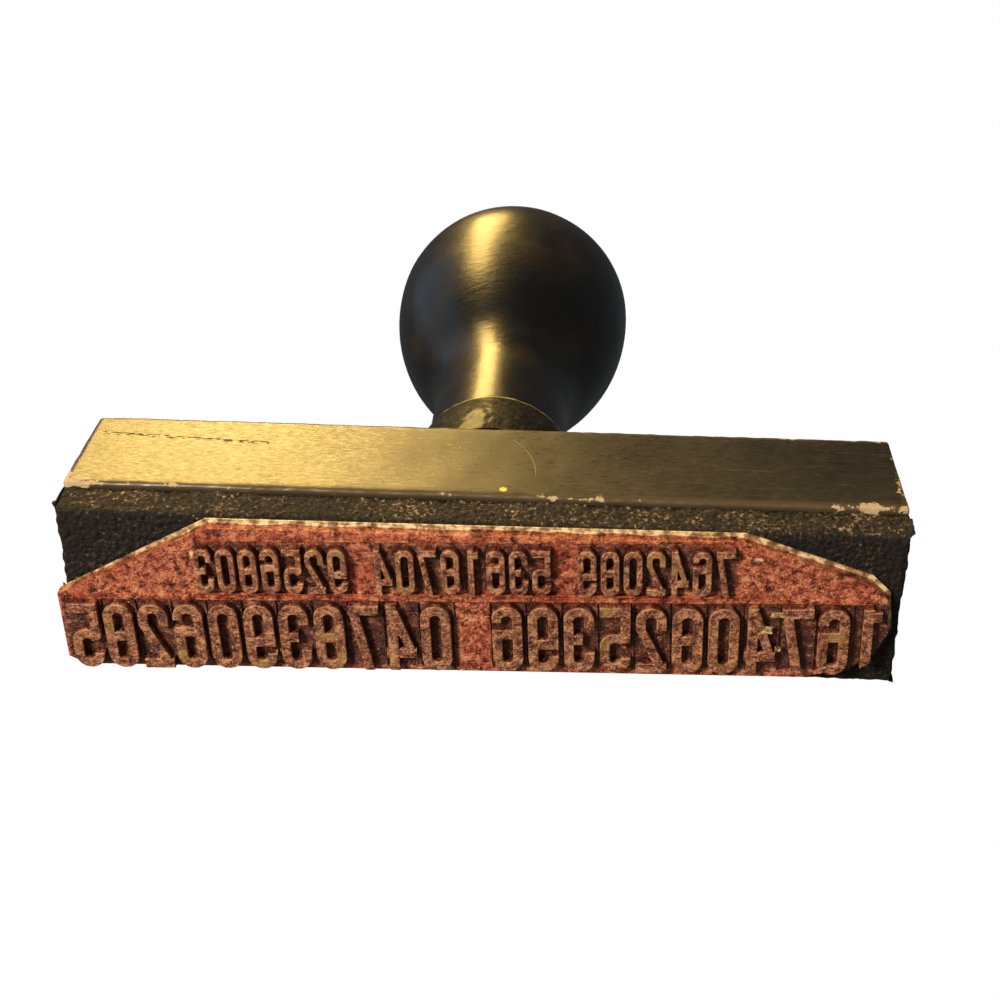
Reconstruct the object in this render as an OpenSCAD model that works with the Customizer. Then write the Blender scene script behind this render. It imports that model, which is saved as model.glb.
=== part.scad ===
// Knob-handled office hand stamp, standing on its printing face.
// X runs along the lines of type, Y across the block, Z up the handle.
// The origin is under the middle of the block, level with the type.

/* [Wooden block] */
// Length of the block along its top
block_l = 92; // [80:1:120]
// How far each end leans out towards the foot
block_flare = 0.6; // [0:0.1:1]
// Width of the block
block_w = 20.5; // [19:0.5:30]
// Height of the block
block_h = 14.8; // [12:0.1:24]
// Rounding of the long and the upright edges
block_round = 0.9; // [0.5:0.1:2]

/* [Sponge cushion] */
// Thickness of the sponge
cushion_h = 5.2; // [3:0.1:8]
// How far the sponge stays inside the block's sides
cushion_inset = 0.2; // [0:0.1:1]
// Radius of the sponge's upright corners
cushion_corner = 1.2; // [1:0.1:5]
// Rounding of the sponge's lower edge
cushion_round = 1; // [0.5:0.1:2]

/* [Cement] */
// Thickness of each layer of rubber cement
cement_h = 0.2; // [0.1:0.05:0.4]
// How far the cement squeezes out round the die
cement_rim = 0.5; // [0.2:0.1:0.8]

/* [Rubber die] */
// Thickness of the sheet behind the type
sheet_h = 1.2; // [0.8:0.1:2]
// Height of the type above the sheet
relief = 1.2; // [0.8:0.1:1.6]
// Turn of the die on the block, in degrees
die_skew = -2; // [-2.2:0.1:0]

/* [Upper line of type] */
// Height of a numeral
small_h = 5.7; // [4:0.1:6]
// Width of a numeral
small_w = 2.06; // [1.6:0.02:2.2]
// Distance from one numeral to the next
small_pitch = 2.44; // [2.3:0.02:2.5]
// Distance of the line from the middle of the block
small_y = -5.25; // [-5.4:0.05:-5]

/* [Lower line of type] */
// Height of a numeral
large_h = 8.7; // [7:0.1:9]
// Width of a numeral
large_w = 3.4; // [2.8:0.1:3.6]
// Distance from one numeral to the next
large_pitch = 3.92; // [3.7:0.02:3.94]
// Distance of the line from the middle of the block
large_y = 3.6; // [3.4:0.1:3.7]

/* [Handle] */
// Largest radius of the knob
knob_r = 16.2; // [14:0.1:18]
// Height of the knob's round top, centre, above the block
knob_centre = 48; // [44:0.5:55]
// Radius of the arc that narrows the knob below its widest point
flank_r = 32; // [28:1:40]
// Radius of the neck
neck_r = 8.7; // [7.5:0.1:9.2]
// Radius of the hollow curve from the neck to the knob
neck_fillet = 14; // [8:1:18]
// Radius of the collar at its upper rim
collar_r = 9.3; // [9:0.1:10]
// Height of the collar
collar_h = 9.2; // [6:0.1:10]
// Radius of the screw
screw_r = 3.2; // [2.5:0.1:4]
// Screw length above the block
screw_up = 24; // [20:1:28]
// Screw length inside the block
screw_down = 11; // [8:0.5:11.5]
// Clearance of the screw in the knob and the collar
screw_gap = 0.06; // [0.02:0.01:0.1]

/* [Hidden] */
$fn = 64;

// Heights of the layers, from the printing face up.
sheet_z = relief;
die_top = sheet_z + sheet_h;
cushion_z = die_top + cement_h;
cushion_top = cushion_z + cushion_h;
block_z = cushion_top + cement_h;
block_top = block_z + block_h;
collar_top = block_top + collar_h;
knob_z = block_top + knob_centre;
knob_foot = collar_top;

// Length of the block at its foot, and how far a layer may reach along it.
base_l = block_l + 2 * block_flare;
reach = base_l / 2 - 0.1;

// Outline of the die, cut from the sheet with straight trims.
die_outline = [[-46.5, 0.2], [-29.0, -9.1], [28.4, -9.5], [42.0, -4.9], [44.0, -3.0],
               [44.6, 1.5], [43.4, 4.4], [40.6, 6.6], [35.6, 7.9], [0, 8.7], [-44.4, 9.8],
               [-46.3, 8.8]];

// Numerals in the order that they stand along X. -1 is a space.
small_line = [3, 0, 8, 6, 5, 2, 9, -1, 4, 0, 7, 8, 1, 6, 3, 5, -1, 9, 8, 0, 2, 4, 6, 7];
large_line = [5, 8, 2, 6, 0, 9, 3, 8, 7, 4, 0, -1, 6, 9, 3, 5, 2, 8, 0, 4, 7, 6, 1];

// Radius of the bead's side, so that it is collar_r at the upper rim.
bead_r = (pow(collar_h * 0.7, 2) + 1) / 2;

// The hollow curve starts on the neck at neck_z and meets the flank at touch_r, touch_z.
flank_x = knob_r - flank_r;
blend_x = neck_r + neck_fillet - flank_x;
blend_z = sqrt(pow(flank_r + neck_fillet, 2) - blend_x * blend_x);
neck_z = knob_z - blend_z;
touch_r = flank_x + blend_x * flank_r / (flank_r + neck_fillet);
touch_z = knob_z - blend_z * flank_r / (flank_r + neck_fillet);

// A flat outline with round corners.
module round_plan(l, w, r) {
    for (x = [-1, 1], y = [-1, 1])
        translate([x * (l / 2 - r), y * (w / 2 - r)]) circle(r);
    square([l - 2 * r, w], center = true);
    square([l, w - 2 * r], center = true);
}

// A bar with half-round ends.
module capsule(w, h) {
    for (y = [-1, 1])
        translate([0, y * (h / 2 - w / 2)]) circle(d = w);
    square([w, h - w], center = true);
}

// The loop that most numerals share.
module loop(w, h, s, t) {
    difference() {
        capsule(w, h);
        capsule(w - 2 * s, h - 2 * t);
    }
}

// One condensed numeral, drawn round its own centre.
// s is the thickness of its uprights and t of its bars.
module numeral(n, w, h, s, t) {
    in = w - 2 * s;
    if (n == 0) loop(w, h, s, t);
    if (n == 1) {
        translate([s * 0.3, 0]) square([s, h], center = true);
        translate([-w * 0.32, h / 2 - t * 1.3]) square([w * 0.4, t]);
    }
    if (n == 2) {
        intersection() {
            loop(w, h, s, t);
            translate([-w, h * 0.16]) square([2 * w, h]);
        }
        polygon([[w / 2 - s, h * 0.17], [w / 2, h * 0.17], [-w / 2 + s * 1.05, -h / 2 + t / 2],
                 [-w / 2, -h / 2 + t / 2]]);
        translate([-w / 2, -h / 2]) square([w, t]);
    }
    if (n == 3) {
        difference() {
            loop(w, h, s, t);
            translate([-w, -h * 0.2]) square([w / 2 + s, h * 0.4]);
        }
        translate([-in / 2 + s * 0.1, -t / 2]) square([w / 2, t]);
    }
    if (n == 4) {
        translate([w * 0.08, -h / 2]) square([s, h]);
        translate([-w / 2, -h * 0.3]) square([w, t]);
        polygon([[w * 0.08, h / 2], [w * 0.09 + s, h / 2], [-w / 2 + s * 0.9, -h * 0.3 + t / 2],
                 [-w / 2, -h * 0.3 + t / 2]]);
    }
    if (n == 5) {
        translate([-w / 2, h / 2 - t]) square([w, t]);
        translate([-w / 2, -t * 0.1]) square([s, h / 2]);
        difference() {
            translate([0, -h * 0.2]) loop(w, h * 0.6, s, t);
            translate([-w, -h * 0.28]) square([w / 2 + s, h * 0.24]);
        }
    }
    if (n == 6 || n == 9) rotate(n == 9 ? 180 : 0) {
        difference() {
            loop(w, h, s, t);
            translate([in / 2 - s * 0.1, h * 0.1]) square([w, h * 0.16]);
        }
        translate([-in / 2 - s * 0.2, t * 0.05]) square([w - s * 0.8, t]);
    }
    if (n == 7) {
        translate([-w / 2, h / 2 - t]) square([w, t]);
        polygon([[w / 2 - s, h / 2 - t / 2], [w / 2, h / 2 - t / 2], [w * 0.1, -h / 2],
                 [w * 0.1 - s, -h / 2]]);
    }
    if (n == 8) {
        loop(w, h, s, t);
        square([w - s, t], center = true);
    }
}

// A line of raised numerals. It reads from +X, mirrored, as type does.
module type_line(line, w, h, pitch, s, t) {
    for (i = [0 : len(line) - 1])
        if (line[i] >= 0)
            translate([(i - (len(line) - 1) / 2) * pitch, 0, 0])
                linear_extrude(relief + 0.3)
                    rotate(180) numeral(line[i], w, h, s, t);
}

module mount_block() {
    color([0.13, 0.12, 0.09])
        difference() {
            intersection() {
                translate([0, 0, block_z])
                    linear_extrude(block_h) round_plan(base_l, block_w, block_round);
                translate([-base_l / 2, 0, block_z + block_h / 2]) rotate([90, 0, 90])
                    linear_extrude(base_l) round_plan(block_w, block_h, block_round);
                translate([0, block_w / 2, block_z]) rotate([90, 0, 0])
                    linear_extrude(block_w)
                        polygon([[-base_l / 2, 0], [base_l / 2, 0], [block_l / 2, block_h],
                                 [-block_l / 2, block_h]]);
            }
            translate([0, 0, block_top - screw_down]) cylinder(r = screw_r, h = screw_down + 1);
        }
}

module mount_cement() {
    color([0.55, 0.47, 0.30])
        translate([0, 0, cushion_top])
            linear_extrude(cement_h)
                round_plan(base_l - 2.2, block_w - 2.2, cushion_corner);
}

module sponge_cushion() {
    l = base_l - 2 * cushion_inset;
    w = block_w - 2 * cushion_inset;
    // The lower edge is rounded by two upright profiles, and the upper one stays sharp.
    color([0.09, 0.08, 0.07])
        intersection() {
            translate([0, 0, cushion_z])
                linear_extrude(cushion_h) round_plan(l, w, cushion_corner);
            translate([-l / 2, 0, cushion_z + cushion_h]) rotate([90, 0, 90])
                linear_extrude(l) round_plan(w, 2 * cushion_h, cushion_round);
            translate([0, w / 2, cushion_z + cushion_h]) rotate([90, 0, 0])
                linear_extrude(w) round_plan(l, 2 * cushion_h, cushion_round);
        }
}

module die_cement() {
    color([0.80, 0.68, 0.45])
        translate([0, 0, die_top])
            linear_extrude(cement_h)
                polygon([for (p = die_outline)
                    [max(-reach, p[0] + cement_rim * sign(p[0]) * min(1, abs(p[0]) / 40)),
                     p[1] + cement_rim * p[1] / 10]]);
}

module rubber_die() {
    color([0.40, 0.16, 0.10]) {
        translate([0, 0, sheet_z]) linear_extrude(sheet_h) polygon(die_outline);
        rotate(die_skew) translate([-1.3, small_y, 0])
            type_line(small_line, small_w, small_h, small_pitch, 0.68, 0.8);
        // The trim at the right-hand end cuts through the last numerals.
        intersection() {
            rotate(die_skew) translate([-0.6, large_y, 0])
                type_line(large_line, large_w, large_h, large_pitch, 1.15, 1.2);
            translate([0, 0, -0.5]) linear_extrude(relief + 1) polygon(die_outline);
        }
    }
}

module handle_screw() {
    // A hanger screw: its lower half holds in the wood and its upper half takes the knob.
    color([0.62, 0.62, 0.60])
        translate([0, 0, block_top - screw_down]) {
            cylinder(r = screw_r, h = screw_down + screw_up - 0.8);
            translate([0, 0, screw_down + screw_up - 0.8])
                cylinder(r1 = screw_r, r2 = screw_r - 0.8, h = 0.8);
        }
}

module handle_collar() {
    // A domed bead: its side is one arc that is fullest a little above the block.
    color([0.10, 0.09, 0.08])
        rotate_extrude()
            difference() {
                intersection() {
                    translate([0, block_top]) square([collar_r + 2, collar_h]);
                    translate([collar_r + 1 - bead_r, block_top + collar_h * 0.3]) circle(bead_r);
                }
                translate([-20, block_top - 1]) square([20, collar_h + 2]);
                translate([-1, block_top - 1]) square([1 + screw_r + screw_gap, collar_h + 2]);
            }
}

module handle_knob() {
    color([0.05, 0.05, 0.06])
        rotate_extrude()
            difference() {
                union() {
                    intersection() {
                        translate([flank_x, knob_z]) circle(flank_r, $fn = 256);
                        translate([0, touch_z]) square([knob_r + 1, knob_z - touch_z]);
                    }
                    difference() {
                        translate([0, neck_z]) square([touch_r, touch_z - neck_z]);
                        translate([neck_r + neck_fillet, neck_z]) circle(neck_fillet, $fn = 256);
                    }
                    translate([0, knob_foot + 0.7]) square([neck_r, neck_z - knob_foot]);
                    translate([0, knob_foot + 2]) square([neck_r, knob_z - knob_foot]);
                    translate([0, knob_foot]) square([neck_r - 0.7, 1]);
                    translate([neck_r - 0.7, knob_foot + 0.7]) circle(0.7);
                    intersection() {
                        translate([0, knob_z]) circle(knob_r, $fn = 128);
                        translate([0, knob_z]) square([knob_r + 1, knob_r + 1]);
                    }
                }
                translate([-40, knob_foot - 1]) square([40, 80]);
                translate([-1, knob_foot - 1])
                    square([1 + screw_r + screw_gap, screw_up - collar_h + 2.5]);
            }
}

mount_block();
mount_cement();
sponge_cushion();
die_cement();
rubber_die();
handle_screw();
handle_collar();
handle_knob();
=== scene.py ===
import math

import bmesh
import bpy
from mathutils import Matrix, Vector, noise


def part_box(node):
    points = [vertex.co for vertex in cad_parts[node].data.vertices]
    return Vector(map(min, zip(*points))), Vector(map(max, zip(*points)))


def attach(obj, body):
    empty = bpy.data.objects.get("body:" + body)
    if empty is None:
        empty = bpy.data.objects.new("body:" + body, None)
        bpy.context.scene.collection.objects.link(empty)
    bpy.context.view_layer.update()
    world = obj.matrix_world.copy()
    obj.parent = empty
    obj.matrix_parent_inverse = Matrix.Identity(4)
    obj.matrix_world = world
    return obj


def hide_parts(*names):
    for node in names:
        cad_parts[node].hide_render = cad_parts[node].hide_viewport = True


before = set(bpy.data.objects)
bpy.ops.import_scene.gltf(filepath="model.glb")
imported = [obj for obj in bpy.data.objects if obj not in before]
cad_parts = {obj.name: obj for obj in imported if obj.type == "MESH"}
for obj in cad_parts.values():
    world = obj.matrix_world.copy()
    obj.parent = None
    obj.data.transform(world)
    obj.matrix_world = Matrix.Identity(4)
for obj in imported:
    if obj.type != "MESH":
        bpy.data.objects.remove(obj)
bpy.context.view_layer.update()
print("frame loaded:", len(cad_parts), "nodes")

millimetre = 0.001


def linearColour(hexText):
    # sRGB hex to the linear colour that the sockets take
    parts = [int(hexText[i:i + 2], 16) / 255 for i in (1, 3, 5)]
    return tuple(c / 12.92 if c <= 0.04045 else ((c + 0.055) / 1.055) ** 2.4 for c in parts) + (1.0,)


def perMm(size):
    # scale of a pattern whose marks are this many millimetres apart
    return 1 / (size * millimetre)


def inMm(*values):
    return Vector([v * millimetre for v in values])


# ---- small habits used by every piece

def useOnly(obj):
    if bpy.context.mode != "OBJECT":
        bpy.ops.object.mode_set(mode="OBJECT")
    bpy.ops.object.select_all(action="DESELECT")
    obj.select_set(True)
    bpy.context.view_layer.objects.active = obj
    return obj


def clearSelection():
    if bpy.context.mode != "OBJECT":
        bpy.ops.object.mode_set(mode="OBJECT")
    bpy.ops.object.select_all(action="DESELECT")


def editAll(obj):
    useOnly(obj)
    bpy.ops.object.mode_set(mode="EDIT")
    bpy.ops.mesh.select_all(action="SELECT")


def pickFaces(obj, test):
    # selects, in edit mode, the faces whose centre and normal pass the test
    shape = bmesh.from_edit_mesh(obj.data)
    for v in shape.verts:
        v.select = False
    for e in shape.edges:
        e.select = False
    for f in shape.faces:
        f.select = test(f.calc_center_median(), f.normal)
    shape.select_flush(True)
    bmesh.update_edit_mesh(obj.data)


def pickEdges(obj, test):
    shape = bmesh.from_edit_mesh(obj.data)
    for f in shape.faces:
        f.select = False
    for e in shape.edges:
        a, b = e.verts[0].co, e.verts[1].co
        e.select = test((a + b) / 2, (b - a).normalized())
    bmesh.update_edit_mesh(obj.data)


def applyModifier(obj, kind, **settings):
    useOnly(obj)
    modifier = obj.modifiers.new(kind.lower(), kind)
    for name, value in settings.items():
        setattr(modifier, name, value)
    bpy.ops.object.modifier_apply(modifier=modifier.name)


def roughen(obj, spacing, depth, where=None, kind="CLOUDS", **more):
    # worn or pitted surface: only ever moves the skin inwards
    texture = bpy.data.textures.new(obj.name + "Rough", kind)
    texture.noise_scale = spacing * millimetre
    for name, value in more.items():
        setattr(texture, name, value)
    settings = {"texture": texture, "strength": depth * millimetre, "mid_level": 1.0,
                "texture_coords": "LOCAL"}
    if where:
        group = obj.vertex_groups.new(name="worn")
        for v in obj.data.vertices:
            weight = max(0.0, min(1.0, where(v.co)))
            if weight > 0:
                group.add([v.index], weight, "REPLACE")
        settings["vertex_group"] = group.name
    applyModifier(obj, "DISPLACE", **settings)
    for group in list(obj.vertex_groups):
        obj.vertex_groups.remove(group)


def drillHole(obj, radius, depth, middle, sides):
    # a straight round hole along Z, through or blind
    bpy.ops.mesh.primitive_cylinder_add(vertices=sides, radius=radius, depth=depth, location=middle)
    drill = bpy.context.object
    applyModifier(obj, "BOOLEAN", object=drill, operation="DIFFERENCE", solver="EXACT")
    bpy.data.objects.remove(drill)


def joinInto(obj, others):
    clearSelection()
    for other in others:
        other.select_set(True)
    obj.select_set(True)
    bpy.context.view_layer.objects.active = obj
    bpy.ops.object.join()
    return obj


def smoothSkin(obj, degrees=35):
    useOnly(obj)
    bpy.ops.object.shade_smooth_by_angle(angle=math.radians(degrees))


def settle(obj, body, material, slotName, *nodes):
    # the finished piece: place in its mesh, its finish, its body, the CAD nodes it stands for
    useOnly(obj)
    bpy.ops.object.transform_apply(location=True, rotation=True, scale=True)
    obj.data.materials.clear()
    obj.data.materials.append(material)
    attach(obj, body)
    if nodes:
        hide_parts(*nodes)
    print("made", obj.name, len(obj.data.polygons), "faces")
    return obj


def copyOfNode(nodeName, name):
    # a merged copy of a CAD node, as the start of a finer piece
    obj = bpy.data.objects.new(name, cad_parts[nodeName].data.copy())
    bpy.context.scene.collection.objects.link(obj)
    editAll(obj)
    bpy.ops.mesh.customdata_custom_splitnormals_clear()
    bpy.ops.mesh.remove_doubles(threshold=0.002 * millimetre)
    bpy.ops.mesh.dissolve_limited(angle_limit=math.radians(1))
    bpy.ops.object.mode_set(mode="OBJECT")
    return obj


def turnedShape(name, profile, sides):
    # a lathe piece: a ring is filled, then extruded from one (radius, height) to the next
    clearSelection()
    radius, height = profile[0]
    bpy.ops.mesh.primitive_circle_add(vertices=sides, radius=radius * millimetre, fill_type="NGON",
                                      location=inMm(0, 0, height))
    obj = bpy.context.object
    obj.name = name
    bpy.ops.object.transform_apply(location=True)
    bpy.ops.object.mode_set(mode="EDIT")
    bpy.ops.mesh.select_all(action="SELECT")
    for nextRadius, nextHeight in profile[1:]:
        bpy.ops.mesh.extrude_region_move(
            TRANSFORM_OT_translate={"value": inMm(0, 0, nextHeight - height)})
        factor = nextRadius / radius
        bpy.ops.transform.resize(value=(factor, factor, 1), center_override=inMm(0, 0, nextHeight))
        radius, height = nextRadius, nextHeight
    bpy.ops.mesh.poke()
    bpy.ops.mesh.select_all(action="SELECT")
    bpy.ops.mesh.normals_make_consistent(inside=False)
    bpy.ops.object.mode_set(mode="OBJECT")
    return obj


def addNode(tree, kind, settings=None, links=None):
    # one shader node with its settings and its incoming links
    node = tree.nodes.new("ShaderNode" + kind)
    for name, value in (settings or {}).items():
        if name == "stops":
            ramp = node.color_ramp
            while len(ramp.elements) < len(value):
                ramp.elements.new(0.5)
            for element, (position, colour) in zip(ramp.elements, value):
                element.position = position
                element.color = linearColour(colour)
        elif isinstance(name, str) and hasattr(node, name):
            setattr(node, name, value)
        else:
            node.inputs[name].default_value = linearColour(value) if isinstance(value, str) else value
    for name, socket in (links or {}).items():
        tree.links.new(socket, node.inputs[name])
    return node


def startMaterial(name):
    material = bpy.data.materials.new(name)
    material.use_nodes = True
    tree = material.node_tree
    tree.nodes.clear()
    shader = addNode(tree, "BsdfPrincipled")
    output = addNode(tree, "OutputMaterial", links={"Surface": shader.outputs["BSDF"]})
    output.target = "ALL"
    place = addNode(tree, "TexCoord").outputs["Object"]
    return material, tree, shader, place


# ---- camera, light and floor

view = {
    "place": (12.4, -111.6, -151.7),
    "forward": (-0.0541, 0.5374, 0.8416),
    "up": (-0.0330, -0.8433, 0.5364),
    "lens": 62.5,
}

cameraData = bpy.data.cameras.new("camera")
cameraData.lens = view["lens"]
cameraData.sensor_width = 36
cameraData.clip_start = 0.01
cameraData.clip_end = 20
camera = bpy.data.objects.new("camera", cameraData)
bpy.context.scene.collection.objects.link(camera)
forward = Vector(view["forward"]).normalized()
right = forward.cross(Vector(view["up"])).normalized()
up = right.cross(forward)
turn = Matrix((right, up, -forward)).transposed().to_4x4()
camera.matrix_world = Matrix.Translation(inMm(*view["place"])) @ turn
bpy.context.scene.camera = camera

lamps = [
    # direction from the block, distance, width and height in metres, whether it shows as a reflection
    {"name": "warmWindow", "colour": "#ffd376", "watts": 4.0, "toward": (-0.31, -0.60, 0.70),
     "away": 0.55, "size": (0.13, 0.45), "reflected": True},
    {"name": "lowSoftbox", "colour": "#fff3e4", "watts": 4.4, "toward": (-0.50, -0.62, -0.70),
     "away": 0.55, "size": (0.10, 0.10), "reflected": True},
    {"name": "coolWindow", "colour": "#c8dcf2", "watts": 0.5, "toward": (-0.90, -0.30, 0.35),
     "away": 0.60, "size": (0.45, 0.70), "reflected": True},
    {"name": "backFill", "colour": "#f4f2ee", "watts": 1.6, "toward": (0.35, 0.75, 0.65),
     "away": 0.70, "size": (0.40, 0.40), "reflected": False},
]

for lamp in lamps:
    lampData = bpy.data.lights.new(lamp["name"], "AREA")
    lampData.shape = "RECTANGLE"
    lampData.size, lampData.size_y = lamp["size"]
    lampData.energy = lamp["watts"]
    lampData.color = linearColour(lamp["colour"])[:3]
    lampObject = bpy.data.objects.new(lamp["name"], lampData)
    bpy.context.scene.collection.objects.link(lampObject)
    toward = Vector(lamp["toward"]).normalized()
    lampObject.location = inMm(0, 0, 25) + toward * lamp["away"]
    lampObject.rotation_mode = "QUATERNION"
    lampObject.rotation_quaternion = (-toward).to_track_quat("-Z", "Y")
    lampObject.visible_camera = False
    lampObject.visible_glossy = lamp["reflected"]

world = bpy.data.worlds.new("paleRoom")
bpy.context.scene.world = world
world.use_nodes = True
room = world.node_tree
room.nodes.clear()
seen = addNode(room, "LightPath").outputs["Is Camera Ray"]
dim = addNode(room, "Background", {"Color": "#e9ecf0", "Strength": 0.10})
bright = addNode(room, "Background", {"Color": "#ffffff", "Strength": 1.0})
both = addNode(room, "MixShader", links={0: seen, 1: dim.outputs[0], 2: bright.outputs[0]})
addNode(room, "OutputWorld", links={"Surface": both.outputs[0]})
bpy.context.scene.view_settings.view_transform = "Standard"

# The camera looks up at the printing face, so the pale floor lies well below the camera.
clearSelection()
bpy.ops.mesh.primitive_plane_add(size=6, location=(0, 0, -0.75))
paleFloor = bpy.context.object
paleFloor.name = "paleFloor"
bpy.ops.object.transform_apply(location=True)
floorPaint, tree, shader, place = startMaterial("mattWhiteWallPaint")
shader.inputs["Base Color"].default_value = linearColour("#f2f1ee")
shader.inputs["Roughness"].default_value = 0.9
paleFloor.data.materials.append(floorPaint)
print("camera, light and floor set")


# ---- wooden block

blockSpec = {
    "flare": 0.6,  # how far each end leans out towards the foot, mm
    "round": 0.5,  # worn rounding of the arrises, mm
    "cell": 1.05,  # spacing of the mesh before its last subdivision, mm
    "nickSpacing": 1.4,
    "nickDepth": 0.22,
    "dentSpacing": 9.0,
    "dentDepth": 0.12,
    "dark": "#191712",
    "brown": "#2f2a1f",
    "fleck": "#8d7a55",
    "bareWood": "#d3bb8f",
    "primer": "#77603c",
}

blockLow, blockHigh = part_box("mount_block")
blockMiddle = (blockLow + blockHigh) / 2
blockHalf = (blockHigh - blockLow) / 2
screwLow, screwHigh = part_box("handle_screw")
screwRadius = (screwHigh.x - screwLow.x) / 2


def arrisDistance(point):
    # distance from the nearest long or short edge of the block: the second smallest way out
    out = sorted(blockHalf[i] - abs(point[i] - blockMiddle[i]) for i in range(3))
    return out[1]


def buildBlock(spec):
    clearSelection()
    bpy.ops.mesh.primitive_cube_add(size=1, location=blockMiddle)
    block = bpy.context.object
    block.name = "woodenBlock"
    block.scale = blockHalf * 2
    bpy.ops.object.transform_apply(location=True, scale=True)
    bpy.ops.object.mode_set(mode="EDIT")
    pickFaces(block, lambda centre, normal: normal.z > 0.9)
    shorter = 1 - spec["flare"] * millimetre / blockHalf.x
    bpy.ops.transform.resize(value=(shorter, 1.0, 1.0), center_override=blockMiddle)
    for axis in range(3):
        pickEdges(block, lambda middle, along: abs(along[axis]) > 0.9)
        cuts = round(blockHalf[axis] * 2 / (spec["cell"] * millimetre)) - 1
        bpy.ops.mesh.subdivide(number_cuts=cuts)
    bpy.ops.object.mode_set(mode="OBJECT")
    applyModifier(block, "BEVEL", width=spec["round"] * millimetre, segments=3,
                  limit_method="ANGLE", angle_limit=math.radians(50))
    applyModifier(block, "SUBSURF", subdivision_type="SIMPLE", levels=1, render_levels=1)
    # the pilot hole that the hanger screw is driven into
    drillHole(block, screwRadius, 30 * millimetre, (0, 0, screwLow.z + 15 * millimetre), 48)
    roughen(block, spec["dentSpacing"], spec["dentDepth"])
    roughen(block, spec["nickSpacing"], spec["nickDepth"],
            where=lambda p: 1 - arrisDistance(p) / (0.9 * millimetre))
    smoothSkin(block)
    return block


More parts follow.
